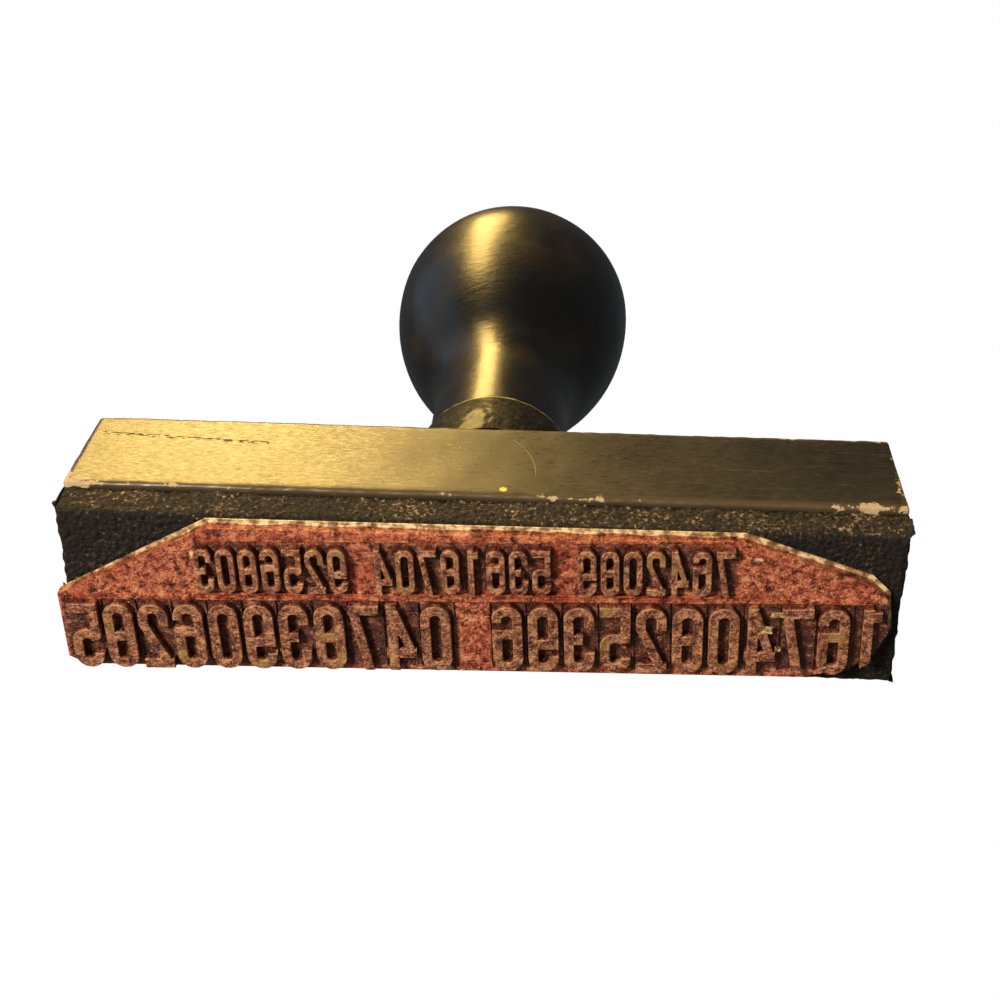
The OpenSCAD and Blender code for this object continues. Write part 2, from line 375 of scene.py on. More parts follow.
def paintedMaple(spec):
    # Maple sawn and sanded, brushed with black oil paint that has gone brown and rubbed through
    # at the arrises. It gives a dull satin gloss broken by fine grain and grit.
    material, tree, shader, place = startMaterial("brushedBlackPaintOnMaple")
    along = addNode(tree, "Mapping", {"Scale": (perMm(7), perMm(0.35), perMm(0.35))}, {"Vector": place})
    grain = addNode(tree, "TexNoise", {"Scale": 1.0, "Detail": 3.0, "Roughness": 0.6},
                    {"Vector": along.outputs[0]})
    cloud = addNode(tree, "TexNoise", {"Scale": perMm(14), "Detail": 4.0, "Roughness": 0.55},
                    {"Vector": place})
    strokes = addNode(tree, "Mapping", {"Scale": (perMm(0.9), perMm(0.25), perMm(0.25))},
                      {"Vector": place})
    grit = addNode(tree, "TexNoise", {"Scale": 1.0, "Detail": 3.0, "Roughness": 0.7},
                   {"Vector": strokes.outputs[0]})
    paint = addNode(tree, "Mix", {"data_type": "RGBA", 6: spec["dark"], 7: spec["brown"]})
    blotch = addNode(tree, "MapRange", {"From Min": 0.38, "From Max": 0.68}, {"Value": cloud.outputs[0]})
    tree.links.new(blotch.outputs[0], paint.inputs[0])
    grainMask = addNode(tree, "MapRange", {"From Min": 0.56, "From Max": 0.72, "To Max": 0.45},
                        {"Value": grain.outputs[0]})
    grained = addNode(tree, "Mix", {"data_type": "RGBA", 7: "#54462e"},
                      {0: grainMask.outputs[0], 6: paint.outputs[2]})
    fleckMask = addNode(tree, "MapRange", {"From Min": 0.70, "From Max": 0.76, "To Max": 0.55},
                        {"Value": grit.outputs[0]})
    flecked = addNode(tree, "Mix", {"data_type": "RGBA", 7: spec["fleck"]},
                      {0: fleckMask.outputs[0], 6: grained.outputs[2]})
    # way in from each pair of faces, as in arrisDistance
    middle = addNode(tree, "VectorMath", {"operation": "SUBTRACT", 1: tuple(blockMiddle)}, {0: place})
    away = addNode(tree, "VectorMath", {"operation": "ABSOLUTE"}, {0: middle.outputs[0]})
    inside = addNode(tree, "VectorMath", {"operation": "SUBTRACT", 0: tuple(blockHalf)},
                     {1: away.outputs[0]})
    axes = addNode(tree, "SeparateXYZ", links={0: inside.outputs[0]})
    pairs = [addNode(tree, "Math", {"operation": "MAXIMUM"}, {0: axes.outputs[a], 1: axes.outputs[b]})
             for a, b in ((0, 1), (1, 2), (0, 2))]
    nearest = addNode(tree, "Math", {"operation": "MINIMUM"},
                      {0: pairs[0].outputs[0], 1: pairs[1].outputs[0]})
    nearest = addNode(tree, "Math", {"operation": "MINIMUM"},
                      {0: nearest.outputs[0], 1: pairs[2].outputs[0]})
    chip = addNode(tree, "TexNoise", {"Scale": perMm(3.5), "Detail": 6.0, "Roughness": 0.7},
                   {"Vector": place})
    # the arrises are rubbed more toward both ends, and hardest at the right, where a corner is bare
    ends = addNode(tree, "SeparateXYZ", links={0: place})
    rightWear = addNode(tree, "MapRange", {"From Min": 30 * millimetre, "From Max": 46 * millimetre,
                                         "To Min": 0.0, "To Max": 0.13}, {"Value": ends.outputs[0]})
    leftWear = addNode(tree, "MapRange", {"From Min": -22 * millimetre, "From Max": -40 * millimetre,
                                          "To Min": 0.0, "To Max": 0.05}, {"Value": ends.outputs[0]})
    chipAmount = addNode(tree, "Math", {"operation": "ADD"}, {0: chip.outputs[0], 1: rightWear.outputs[0]})
    chipAmount = addNode(tree, "Math", {"operation": "ADD"},
                         {0: chipAmount.outputs[0], 1: leftWear.outputs[0]})
    chipEdge = addNode(tree, "MapRange", {"From Min": 0.55, "From Max": 0.80, "To Min": 0.0,
                                          "To Max": 1.6 * millimetre}, {"Value": chipAmount.outputs[0]})
    bareMask = addNode(tree, "Math", {"operation": "LESS_THAN"},
                       {0: nearest.outputs[0], 1: chipEdge.outputs[0]})
    rubMask = addNode(tree, "MapRange", {"From Min": 0.0, "From Max": 1.1 * millimetre,
                                         "To Min": 0.5, "To Max": 0.0}, {"Value": nearest.outputs[0]})
    rubbed = addNode(tree, "Mix", {"data_type": "RGBA", 7: spec["primer"]},
                     {0: rubMask.outputs[0], 6: flecked.outputs[2]})
    bareTone = addNode(tree, "Mix", {"data_type": "RGBA", 6: spec["primer"], 7: spec["bareWood"]},
                       {0: grit.outputs[0]})
    worn = addNode(tree, "Mix", {"data_type": "RGBA"},
                   {0: bareMask.outputs[0], 6: rubbed.outputs[2], 7: bareTone.outputs[2]})
    # one curved scratch, one fleck of yellow paint and a broken dark streak on the long side
    scratchCentre = tuple(inMm(-5, -10.25, 12.6))
    fromScratch = addNode(tree, "VectorMath", {"operation": "DISTANCE", 1: scratchCentre}, {0: place})
    scratch = addNode(tree, "Math", {"operation": "COMPARE", 1: 10.8 * millimetre, 2: 0.045 * millimetre},
                      {0: fromScratch.outputs["Value"]})
    shortened = addNode(tree, "Math", {"operation": "COMPARE", 1: 16.2 * millimetre, 2: 3.8 * millimetre},
                        {0: ends.outputs[2]})
    onRight = addNode(tree, "Math", {"operation": "GREATER_THAN", 1: 0.0}, {0: ends.outputs[0]})
    scratch = addNode(tree, "Math", {"operation": "MULTIPLY"},
                      {0: scratch.outputs[0], 1: onRight.outputs[0]})
    scratch = addNode(tree, "Math", {"operation": "MULTIPLY"},
                      {0: scratch.outputs[0], 1: shortened.outputs[0]})
    fromFleck = addNode(tree, "VectorMath", {"operation": "DISTANCE", 1: tuple(inMm(2.4, -10.25, 9.3))},
                        {0: place})
    fleckEdge = addNode(tree, "MapRange", {"To Min": 0.1 * millimetre, "To Max": 0.7 * millimetre},
                        {"Value": chip.outputs[0]})
    fleck = addNode(tree, "Math", {"operation": "LESS_THAN"},
                    {0: fromFleck.outputs["Value"], 1: fleckEdge.outputs[0]})
    marked = addNode(tree, "Mix", {"data_type": "RGBA", 7: "#7d6f50"},
                     {0: scratch.outputs[0], 6: worn.outputs[2]})
    marked = addNode(tree, "Mix", {"data_type": "RGBA", 7: "#d9c24a"},
                     {0: fleck.outputs[0], 6: marked.outputs[2]})
    streakLine = addNode(tree, "Math", {"operation": "MULTIPLY_ADD", 1: 0.059},
                         {0: ends.outputs[0], 2: ends.outputs[2]})
    streak = addNode(tree, "Math", {"operation": "COMPARE", 1: 16.2 * millimetre, 2: 0.3 * millimetre},
                     {0: streakLine.outputs[0]})
    streakRun = addNode(tree, "Math", {"operation": "COMPARE", 1: -35 * millimetre, 2: 10 * millimetre},
                        {0: ends.outputs[0]})
    dashes = addNode(tree, "MapRange", {"From Min": 0.50, "From Max": 0.56, "To Max": 0.8},
                     {"Value": grit.outputs[0]})
    streak = addNode(tree, "Math", {"operation": "MULTIPLY"},
                     {0: streak.outputs[0], 1: streakRun.outputs[0]})
    streak = addNode(tree, "Math", {"operation": "MULTIPLY"}, {0: streak.outputs[0], 1: dashes.outputs[0]})
    tree.links.new(marked.outputs[2], shader.inputs["Base Color"])
    gloss = addNode(tree, "MapRange", {"From Min": 0.3, "From Max": 0.7, "To Min": 0.24,
                                       "To Max": 0.44}, {"Value": grit.outputs[0]})
    streaked = addNode(tree, "Mix", {"data_type": "FLOAT", 3: 0.9},
                       {0: streak.outputs[0], 2: gloss.outputs[0]})
    dull = addNode(tree, "Mix", {"data_type": "FLOAT", 3: 0.8},
                   {0: bareMask.outputs[0], 2: streaked.outputs[0]})
    tree.links.new(dull.outputs[0], shader.inputs["Roughness"])
    height = addNode(tree, "Math", {"operation": "MULTIPLY_ADD", 1: 0.45},
                     {0: grit.outputs[0], 2: grain.outputs[0]})
    bump = addNode(tree, "Bump", {"Strength": 0.35, "Distance": 0.06 * millimetre},
                   {"Height": height.outputs[0]})
    tree.links.new(bump.outputs[0], shader.inputs["Normal"])
    return material


woodenBlock = settle(buildBlock(blockSpec), "block", paintedMaple(blockSpec), "painted_block",
                     "mount_block")


# ---- sponge cushion

spongeSpec = {
    "corner": 1.0,
    "lowerRound": 1.0,
    "voxel": 0.36,
    "lumpSpacing": 5.0,
    "lumpDepth": 0.35,
    "poreSpacing": 0.9,
    "poreDepth": 0.42,
    "black": "#0b0704",
    "dust": "#54422d",
    "speck": "#a08d6c",
}

spongeLow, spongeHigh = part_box("sponge_cushion")


def buildSponge(spec):
    clearSelection()
    middle, size = (spongeLow + spongeHigh) / 2, spongeHigh - spongeLow
    bpy.ops.mesh.primitive_cube_add(size=1, location=middle)
    sponge = bpy.context.object
    sponge.name = "spongeCushion"
    sponge.scale = size
    bpy.ops.object.transform_apply(location=True, scale=True)
    bpy.ops.object.mode_set(mode="EDIT")
    pickEdges(sponge, lambda middle, along: abs(along.z) > 0.9)
    bpy.ops.mesh.bevel(offset=spec["corner"] * millimetre, segments=6)
    pickFaces(sponge, lambda centre, normal: normal.z < -0.9)
    bpy.ops.mesh.bevel(offset=spec["lowerRound"] * millimetre, segments=4)
    bpy.ops.object.mode_set(mode="OBJECT")
    sponge.data.remesh_voxel_size = spec["voxel"] * millimetre
    bpy.ops.object.voxel_remesh()
    roughen(sponge, spec["lumpSpacing"], spec["lumpDepth"])
    roughen(sponge, spec["poreSpacing"], spec["poreDepth"], noise_depth=2)
    smoothSkin(sponge, 60)
    return sponge


def spongeRubber(spec):
    # Black open-celled sponge rubber, cut with a knife and gone hard. It gives a dull pitted skin
    # with brown dust on what stands proud.
    material, tree, shader, place = startMaterial("blackSpongeRubber")
    pores = addNode(tree, "TexNoise", {"Scale": perMm(0.5), "Detail": 4.0, "Roughness": 0.75},
                    {"Vector": place})
    cells = addNode(tree, "TexVoronoi", {"Scale": perMm(0.6)}, {"Vector": place})
    cloud = addNode(tree, "TexNoise", {"Scale": perMm(6), "Detail": 3.0}, {"Vector": place})
    amount = addNode(tree, "Math", {"operation": "MULTIPLY_ADD", 1: 0.25},
                     {0: cloud.outputs[0], 2: pores.outputs[0]})
    # painted shade: darker in the lowest millimetre, next to the die, where the die shades the sponge
    level = addNode(tree, "SeparateXYZ", links={0: place})
    shadeNearDie = addNode(tree, "MapRange", {"From Min": spongeLow.z + 0.3 * millimetre,
                                        "From Max": spongeLow.z + 1.3 * millimetre,
                                        "To Min": -0.06, "To Max": 0.0}, {"Value": level.outputs[2]})
    amount = addNode(tree, "Math", {"operation": "ADD"}, {0: amount.outputs[0], 1: shadeNearDie.outputs[0]})
    tone = addNode(tree, "ValToRGB", {"stops": [(0.58, spec["black"]), (0.66, "#21170d"),
                                                (0.73, spec["dust"]), (0.80, spec["speck"])]},
                   {"Fac": amount.outputs[0]})
    tree.links.new(tone.outputs[0], shader.inputs["Base Color"])
    shader.inputs["Roughness"].default_value = 0.78
    shader.inputs["Specular IOR Level"].default_value = 0.35
    height = addNode(tree, "Math", {"operation": "SUBTRACT"}, {0: pores.outputs[0], 1: cells.outputs[0]})
    bump = addNode(tree, "Bump", {"Strength": 1.0, "Distance": 0.35 * millimetre},
                   {"Height": height.outputs[0]})
    tree.links.new(bump.outputs[0], shader.inputs["Normal"])
    return material


spongeCushion = settle(buildSponge(spongeSpec), "block", spongeRubber(spongeSpec), "sponge_rubber",
                       "sponge_cushion")


# ---- rubber die

dieSpec = {
    "skew": -2.0,  # turn of the lines of type, degrees
    "draft": 0.05,  # slope of the type's sides, mm
    "edge": 0.05,  # worn edge of the type's faces, mm
    "wear": 0.10,  # how unevenly the faces have worn, mm
    "sheet": 1.2,  # thickness of the sheet behind the type, mm
    "ridgeWidth": 0.26,
    "ridgeHeight": 0.45,
    # ridges along the lines of type: distance across the block, start and end, mm
    "longRidges": [(-8.75, -29.5, 27.5), (-1.75, -31, 29), (-1.05, -44, 43)],
    # ridges between the large numerals: their middle and length across the block, mm
    "shortRidges": (3.6, 8.7),
    "slugPitch": 3.92,
    "slugStart": -0.6,
    # dried ink, also used as painted shade in the hollows of the words
    "ink": "#2c0d07",
    "ochre": "#94743a",
    # rubbed rim colour, which also serves as a painted highlight along the type's edges
    "rubbed": "#c9a27c",
    "chalk": "#d9c9a0",
    # height of each line across the block, height of its numerals, where its words start and end
    "words": [(-5.25, 5.9, (-30.3, -10.9, 11.2), (-13.6, 8.5, 28.0)),
              (3.6, 8.9, (-46.2, 1.5), (-2.5, 44.8))],
}

dieLow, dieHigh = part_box("rubber_die")
sheetBottom = dieHigh.z - dieSpec["sheet"] * millimetre


def buildDie(spec):
    die = copyOfNode("rubber_die", "rubberDie")
    useOnly(die)
    bpy.ops.object.mode_set(mode="EDIT")
    near = 0.02 * millimetre
    pickFaces(die, lambda centre, normal: normal.z < -0.9 and centre.z < dieLow.z + near)
    # the type's sides slope: the face shrinks and its old border drops to the foot of the letter
    for shrink, drop in ((spec["draft"], 0.95), (spec["edge"], 0.06)):
        bpy.ops.mesh.inset(thickness=shrink * millimetre, use_boundary=True, use_even_offset=False)
        shape = bmesh.from_edit_mesh(die.data)
        shape.verts.ensure_lookup_table()
        inner = {v for f in shape.faces if f.select for v in f.verts}
        for v in shape.verts:
            if v not in inner and v.co.z < dieLow.z + near:
                v.co.z += drop * millimetre
        bmesh.update_edit_mesh(die.data)
        near = 0.01 * millimetre
    bpy.ops.object.mode_set(mode="OBJECT")
    # the rim of each face, for the material: rubbed rubber, and lightened as a painted highlight on the
    # type's edges
    rim = die.data.attributes.new("wornRim", "FLOAT", "POINT")
    for v in die.data.vertices:
        rim.data[v.index].value = 1.0 if 0.03 * millimetre < v.co.z < 0.2 * millimetre else 0.0
    # hand pressure has worn the faces unevenly
    for v in die.data.vertices:
        if v.co.z < sheetBottom - 0.2 * millimetre:
            low = noise.noise(v.co * perMm(9)) * 0.5 + 0.5
            v.co.z += low * spec["wear"] * millimetre
    return die


def buildRidge(name, middle, size, spec):
    # the thin shoulder that the metal type leaves in the mould, beside and between letters
    bpy.ops.mesh.primitive_cube_add(size=1, location=middle)
    ridge = bpy.context.object
    ridge.name = name
    ridge.scale = size
    bpy.ops.object.transform_apply(location=True, scale=True)
    bpy.ops.object.mode_set(mode="EDIT")
    longest = 0 if size.x > size.y else 1
    pickEdges(ridge, lambda centre, along: abs(along[longest]) > 0.9)
    bpy.ops.mesh.subdivide(number_cuts=max(2, round(size[longest] / (0.6 * millimetre))))
    pickFaces(ridge, lambda centre, normal: normal.z < -0.9)
    bpy.ops.transform.resize(value=(1.0, 0.45, 1.0) if longest == 0 else (0.45, 1.0, 1.0),
                             center_override=middle)
    bpy.ops.object.mode_set(mode="OBJECT")
    for v in ridge.data.vertices:
        if v.co.z < middle.z:
            v.co.z += (noise.noise(v.co * perMm(1.1)) * 0.5 + 0.5) * size.z * 0.6
        v.co.x += noise.noise(v.co * perMm(3)) * 0.06 * millimetre
        v.co.y += noise.noise(v.co * perMm(2.5)) * 0.06 * millimetre
    return ridge


def addRidges(die, spec):
    clearSelection()
    width, height = spec["ridgeWidth"] * millimetre, spec["ridgeHeight"] * millimetre
    top = sheetBottom - height / 2 + 0.02 * millimetre
    runs = []
    for y, x0, x1 in spec["longRidges"]:
        runs.append((Vector(((x0 + x1) / 2 * millimetre, y * millimetre, top)),
                     Vector(((x1 - x0) * millimetre, width, height))))
    middleY, across = spec["shortRidges"]
    for i in range(-11, 13):
        x = spec["slugStart"] + (i - 0.5) * spec["slugPitch"]
        runs.append((Vector((x * millimetre, middleY * millimetre, top)),
                     Vector((width * 0.6, across * millimetre, height * 0.8))))
    ridges = [buildRidge("ridge", middle, size, spec) for middle, size in runs
              if abs(middle.x) < 44 * millimetre]
    ridges = joinInto(ridges[0], ridges[1:])
    ridges.data.transform(Matrix.Rotation(math.radians(spec["skew"]), 4, "Z"))
    joinInto(die, [ridges])
    smoothSkin(die, 30)
    return die


def redRubber(spec):
    # Vulcanised red rubber pressed in a mould, stained by years of ink. Its faces are brown and
    # slightly shiny with rubbed rims that are also lightened as a painted highlight, its hollows
    # nearly black from ink and painted shade, and its open ground brick red.
    material, tree, shader, place = startMaterial("vulcanisedRedRubber")
    level = addNode(tree, "SeparateXYZ", links={0: place})
    cloud = addNode(tree, "TexNoise", {"Scale": perMm(6), "Detail": 4.0, "Roughness": 0.6},
                    {"Vector": place})
    stain = addNode(tree, "TexNoise", {"Scale": perMm(1.1), "Detail": 6.0, "Roughness": 0.75},
                    {"Vector": place})
    grit = addNode(tree, "TexNoise", {"Scale": perMm(0.26), "Detail": 2.0, "Roughness": 0.6},
                   {"Vector": place})
    mottled = addNode(tree, "Math", {"operation": "MULTIPLY_ADD", 1: 0.45},
                      {0: grit.outputs[0], 2: stain.outputs[0]})
    ground = addNode(tree, "ValToRGB", {"stops": [(0.58, "#260b06"), (0.66, "#752c1a"),
                                                  (0.74, "#a85734"), (0.86, "#d08e68")]},
                     {"Fac": mottled.outputs[0]})
    redMask = addNode(tree, "MapRange", {"From Min": 0.50, "From Max": 0.64, "To Max": 0.75},
                      {"Value": cloud.outputs[0]})
    reddened = addNode(tree, "Mix", {"data_type": "RGBA", "blend_type": "MULTIPLY", 7: "#d98a78"},
                       {0: redMask.outputs[0], 6: ground.outputs[0]})
    face = addNode(tree, "ValToRGB", {"stops": [(0.57, "#210c06"), (0.65, "#5f2f1c"),
                                                (0.73, "#875034"), (0.83, "#bd8760")]},
                   {"Fac": mottled.outputs[0]})
    ochreMask = addNode(tree, "MapRange", {"From Min": 0.44, "From Max": 0.36, "To Max": 0.8},
                        {"Value": cloud.outputs[0]})
    tinted = addNode(tree, "Mix", {"data_type": "RGBA", 7: spec["ochre"]},
                     {0: ochreMask.outputs[0], 6: face.outputs[0]})
    rim = addNode(tree, "Attribute", {"attribute_name": "wornRim"})
    high = addNode(tree, "MapRange", {"From Min": 0.26 * millimetre, "From Max": 0.16 * millimetre},
                   {"Value": level.outputs[2]})
    rimWearAndHighlightMask = addNode(tree, "Math", {"operation": "MULTIPLY"}, {0: rim.outputs["Fac"], 1: high.outputs[0]})
    worn = addNode(tree, "MapRange", {"From Min": 0.42, "From Max": 0.58, "To Min": 0.25, "To Max": 1.0},
                   {"Value": stain.outputs[0]})
    rimWearAndHighlightMask = addNode(tree, "Math", {"operation": "MULTIPLY"}, {0: rimWearAndHighlightMask.outputs[0], 1: worn.outputs[0]})
    # painted highlight: the pale rim colour stands for glints on the type's edges as well as rubbed rubber
    rubbed = addNode(tree, "Mix", {"data_type": "RGBA", 7: spec["rubbed"]},
                     {0: rimWearAndHighlightMask.outputs[0], 6: tinted.outputs[2]})
    # 1 on the type's faces, 0 on the ground of the sheet
    faceMask = addNode(tree, "MapRange", {"From Min": 0.20 * millimetre, "From Max": 0.45 * millimetre,
                                          "To Min": 1.0, "To Max": 0.0}, {"Value": level.outputs[2]})
    colour = addNode(tree, "Mix", {"data_type": "RGBA"},
                     {0: faceMask.outputs[0], 6: reddened.outputs[2], 7: rubbed.outputs[2]})
    # ink has dried in the hollows of each word; the same dark colour there is also painted shade
    turned = addNode(tree, "Mapping", {"Rotation": (0, 0, math.radians(-spec["skew"]))}, {"Vector": place})
    inWord = None
    for lineY, tall, starts, ends in spec["words"]:
        for start, end in zip(starts, ends):
            centre = inMm((start + end) / 2, lineY, 0)
            offset = addNode(tree, "VectorMath", {"operation": "SUBTRACT", 1: tuple(centre)},
                             {0: turned.outputs[0]})
            away = addNode(tree, "VectorMath", {"operation": "ABSOLUTE"}, {0: offset.outputs[0]})
            half = inMm((end - start) / 2, tall / 2, 0)
            past = addNode(tree, "VectorMath", {"operation": "SUBTRACT", 1: tuple(half)},
                           {0: away.outputs[0]})
            sides = addNode(tree, "SeparateXYZ", links={0: past.outputs[0]})
            edge = addNode(tree, "Math", {"operation": "MAXIMUM"},
                           {0: sides.outputs[0], 1: sides.outputs[1]})
            if inWord is None:
                inWord = edge
            else:
                inWord = addNode(tree, "Math", {"operation": "MINIMUM"},
                                 {0: inWord.outputs[0], 1: edge.outputs[0]})
    wordMask = addNode(tree, "MapRange", {"From Min": 0.25 * millimetre, "From Max": -0.25 * millimetre,
                                          "To Min": 0.0, "To Max": 1.0}, {"Value": inWord.outputs[0]})
    deep = addNode(tree, "MapRange", {"From Min": 0.25 * millimetre, "From Max": 0.6 * millimetre},
                   {"Value": level.outputs[2]})
    inkAndShadeMask = addNode(tree, "Math", {"operation": "MULTIPLY"}, {0: wordMask.outputs[0], 1: deep.outputs[0]})
    patchy = addNode(tree, "MapRange", {"From Min": 0.70, "From Max": 0.55, "To Min": 0.15, "To Max": 0.85},
                     {"Value": stain.outputs[0]})
    inkAndShadeMask = addNode(tree, "Math", {"operation": "MULTIPLY"}, {0: inkAndShadeMask.outputs[0], 1: patchy.outputs[0]})
    inkedAndShaded = addNode(tree, "Mix", {"data_type": "RGBA", 7: spec["ink"]},
                    {0: inkAndShadeMask.outputs[0], 6: colour.outputs[2]})
    chalkMask = addNode(tree, "MapRange", {"From Min": 0.68, "From Max": 0.74, "To Max": 0.8},
                        {"Value": grit.outputs[0]})
    chalked = addNode(tree, "Mix", {"data_type": "RGBA", 7: spec["chalk"]},
                      {0: chalkMask.outputs[0], 6: inkedAndShaded.outputs[2]})
    tree.links.new(chalked.outputs[2], shader.inputs["Base Color"])
    gloss = addNode(tree, "MapRange", {"From Min": 0.35, "From Max": 0.65, "To Min": 0.22, "To Max": 0.50},
                    {"Value": stain.outputs[0]})
    tree.links.new(gloss.outputs[0], shader.inputs["Roughness"])
    bump = addNode(tree, "Bump", {"Strength": 1.0, "Distance": 0.32 * millimetre},
                   {"Height": mottled.outputs[0]})
    tree.links.new(bump.outputs[0], shader.inputs["Normal"])
    return material


rubberDie = settle(addRidges(buildDie(dieSpec), dieSpec), "block", redRubber(dieSpec), "red_rubber",
                   "rubber_die")


# ---- rubber cement

cementSpec = {
    "bead": 0.20,  # radius of the bead round the die, mm
    "cream": "#dcc392",
    "tan": "#8e6b42",
    "brown": "#4d3420",
}


def buildCementBead(spec):
    # the bead that squeezed out round the die, along the outline of the cement layer
    film = copyOfNode("die_cement", "dieCementBead")
    useOnly(film)
    bpy.ops.object.mode_set(mode="EDIT")
    pickFaces(film, lambda centre, normal: normal.z > -0.9)
    bpy.ops.mesh.delete(type="FACE")
    bpy.ops.mesh.select_all(action="SELECT")
    bpy.ops.mesh.dissolve_limited(angle_limit=math.radians(2))
    bpy.ops.mesh.select_all(action="SELECT")
    bpy.ops.mesh.delete(type="ONLY_FACE")
    bpy.ops.mesh.select_all(action="SELECT")
    bpy.ops.mesh.subdivide(number_cuts=40)
    bpy.ops.object.mode_set(mode="OBJECT")
    bpy.ops.object.convert(target="CURVE")
    bead = bpy.context.object
    bead.data.bevel_depth = spec["bead"] * millimetre
    bead.data.bevel_resolution = 2
    bpy.ops.object.convert(target="MESH")
    bead = bpy.context.object
    # it swells and starves along its length, and sits partly under the die
    for v in bead.data.vertices:
        swell = noise.noise(v.co * perMm(3.2)) * 0.30 + noise.noise(v.co * perMm(0.8)) * 0.16
        v.co.x -= math.copysign(min(1, abs(v.co.x) * perMm(40)) * (0.42 - swell) * millimetre, v.co.x)
        v.co.y -= math.copysign((0.42 - swell) * millimetre, v.co.y)
        v.co.z += (swell * 0.5 + 0.02) * millimetre
    smoothSkin(bead, 60)
    return bead


def driedCement(spec):
    # Rubber cement brushed on and dried to a brittle cream crust, browned where dust stuck.
    material, tree, shader, place = startMaterial("driedRubberCement")
    crust = addNode(tree, "TexNoise", {"Scale": perMm(1.1), "Detail": 5.0, "Roughness": 0.7},
                    {"Vector": place})
    tone = addNode(tree, "ValToRGB", {"stops": [(0.36, spec["brown"]), (0.48, spec["tan"]),
                                                (0.60, spec["cream"])]}, {"Fac": crust.outputs[0]})
    tree.links.new(tone.outputs[0], shader.inputs["Base Color"])
    shader.inputs["Roughness"].default_value = 0.55
    bump = addNode(tree, "Bump", {"Strength": 0.6, "Distance": 0.1 * millimetre},
                   {"Height": crust.outputs[0]})
    tree.links.new(bump.outputs[0], shader.inputs["Normal"])
    return material


cementFinish = driedCement(cementSpec)
dieCementBead = settle(buildCementBead(cementSpec), "block", cementFinish, "cement")


crumbSpec = {
    # where each crumb lies (x, y), how high, and its length and width, mm
    "crumbs": [(-30.4, -5.9, 1.02, 1.5, 1.2), (31.3, 0.9, 0.16, 1.7, 0.9), (32.9, -1.1, 0.20, 2.2, 0.7),
               (32.8, 3.4, 0.16, 0.7, 0.6), (-3.2, 8.3, 1.04, 1.5, 0.6), (30.0, -7.6, 1.06, 1.2, 0.4)],
    "thick": 0.24,
}


def buildCrumbs(spec):
    # one flake is modelled, then copied to each place and made ragged there
    clearSelection()
    bpy.ops.mesh.primitive_cube_add(size=1)
    first = bpy.context.object
    bpy.ops.object.mode_set(mode="EDIT")
    bpy.ops.mesh.subdivide(number_cuts=4)
    pickFaces(first, lambda centre, normal: normal.z < -0.9)
    bpy.ops.transform.resize(value=(0.75, 0.75, 1.0), center_override=(0, 0, 0))
    bpy.ops.object.mode_set(mode="OBJECT")
    flakes = []
    for x, y, z, long, wide in spec["crumbs"]:
        flake = bpy.data.objects.new("cementCrumbs", first.data.copy())
        bpy.context.scene.collection.objects.link(flake)
        size = inMm(long, wide, spec["thick"])
        for v in flake.data.vertices:
            ragged = noise.noise(Vector((v.co.x * 3 + x, v.co.y * 3 + y, v.co.z * 2)))
            v.co *= 0.72 + 0.45 * ragged + 0.25 * (1 - abs(v.co.x)) * (1 - abs(v.co.y))
            v.co = Vector(a * b for a, b in zip(v.co, size)) + inMm(x, y, z)
        flakes.append(flake)
    bpy.data.objects.remove(first)
    crumbs = joinInto(flakes[0], flakes[1:])
    crumbs.name = "cementCrumbs"
    smoothSkin(crumbs, 30)
    return crumbs


cementCrumbs = settle(buildCrumbs(crumbSpec), "block", cementFinish, "cement")
for nodeName in ("die_cement", "mount_cement"):
    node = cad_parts[nodeName]
    node.data.materials.clear()
    node.data.materials.append(cementFinish)


# ---- handle screw

threadSpec = {
    "pitch": 1.27,  # rise of the thread in one turn, mm
    "depth": 0.62,  # mm
    "steel": "#b9b8b2",
}


def buildScrew(spec):
    # a hanger screw: plain shank in the wood, a cut thread above it
    radius = screwRadius / millimetre
    blockTop = blockHigh.z / millimetre
    foot, head = screwLow.z / millimetre, screwHigh.z / millimetre
    root = radius - spec["depth"]
    profile = [(radius * 0.55, foot), (radius, foot + 1.2), (radius, blockTop + 0.2),
               (root, blockTop + 0.9), (root, head - 0.3), (root - 0.3, head)]
    screw = turnedShape("handleScrew", profile, 48)
    turns = int((head - 1.2 - blockTop - 0.6) / spec["pitch"])
    clearSelection()
    bpy.ops.mesh.primitive_circle_add(vertices=3, radius=1, fill_type="NGON")
    thread = bpy.context.object
    thread.name = "thread"
    bpy.ops.object.mode_set(mode="EDIT")
    shape = bmesh.from_edit_mesh(thread.data)
    shape.verts.ensure_lookup_table()
    core = root - 0.05
    corners = ((core, -spec["pitch"] * 0.46), (radius, 0), (core, spec["pitch"] * 0.46))
    for v, (r, z) in zip(shape.verts, corners):
        v.co = inMm(r, 0, z)
    bmesh.update_edit_mesh(thread.data)
    bpy.ops.mesh.select_all(action="SELECT")
    bpy.ops.mesh.delete(type="ONLY_FACE")
    bpy.ops.object.mode_set(mode="OBJECT")
    applyModifier(thread, "SCREW", axis="Z", angle=math.tau, steps=32, render_steps=32,
                  screw_offset=spec["pitch"] * millimetre, iterations=turns, use_merge_vertices=True,
                  merge_threshold=0.001 * millimetre)
    thread.data.transform(Matrix.Translation(inMm(0, 0, blockTop + 1.0)))
    editAll(thread)
    bpy.ops.mesh.fill_holes(sides=3)
    bpy.ops.mesh.select_all(action="SELECT")
    bpy.ops.mesh.normals_make_consistent(inside=False)
    bpy.ops.object.mode_set(mode="OBJECT")
    joinInto(screw, [thread])
    smoothSkin(screw, 40)
    return screw


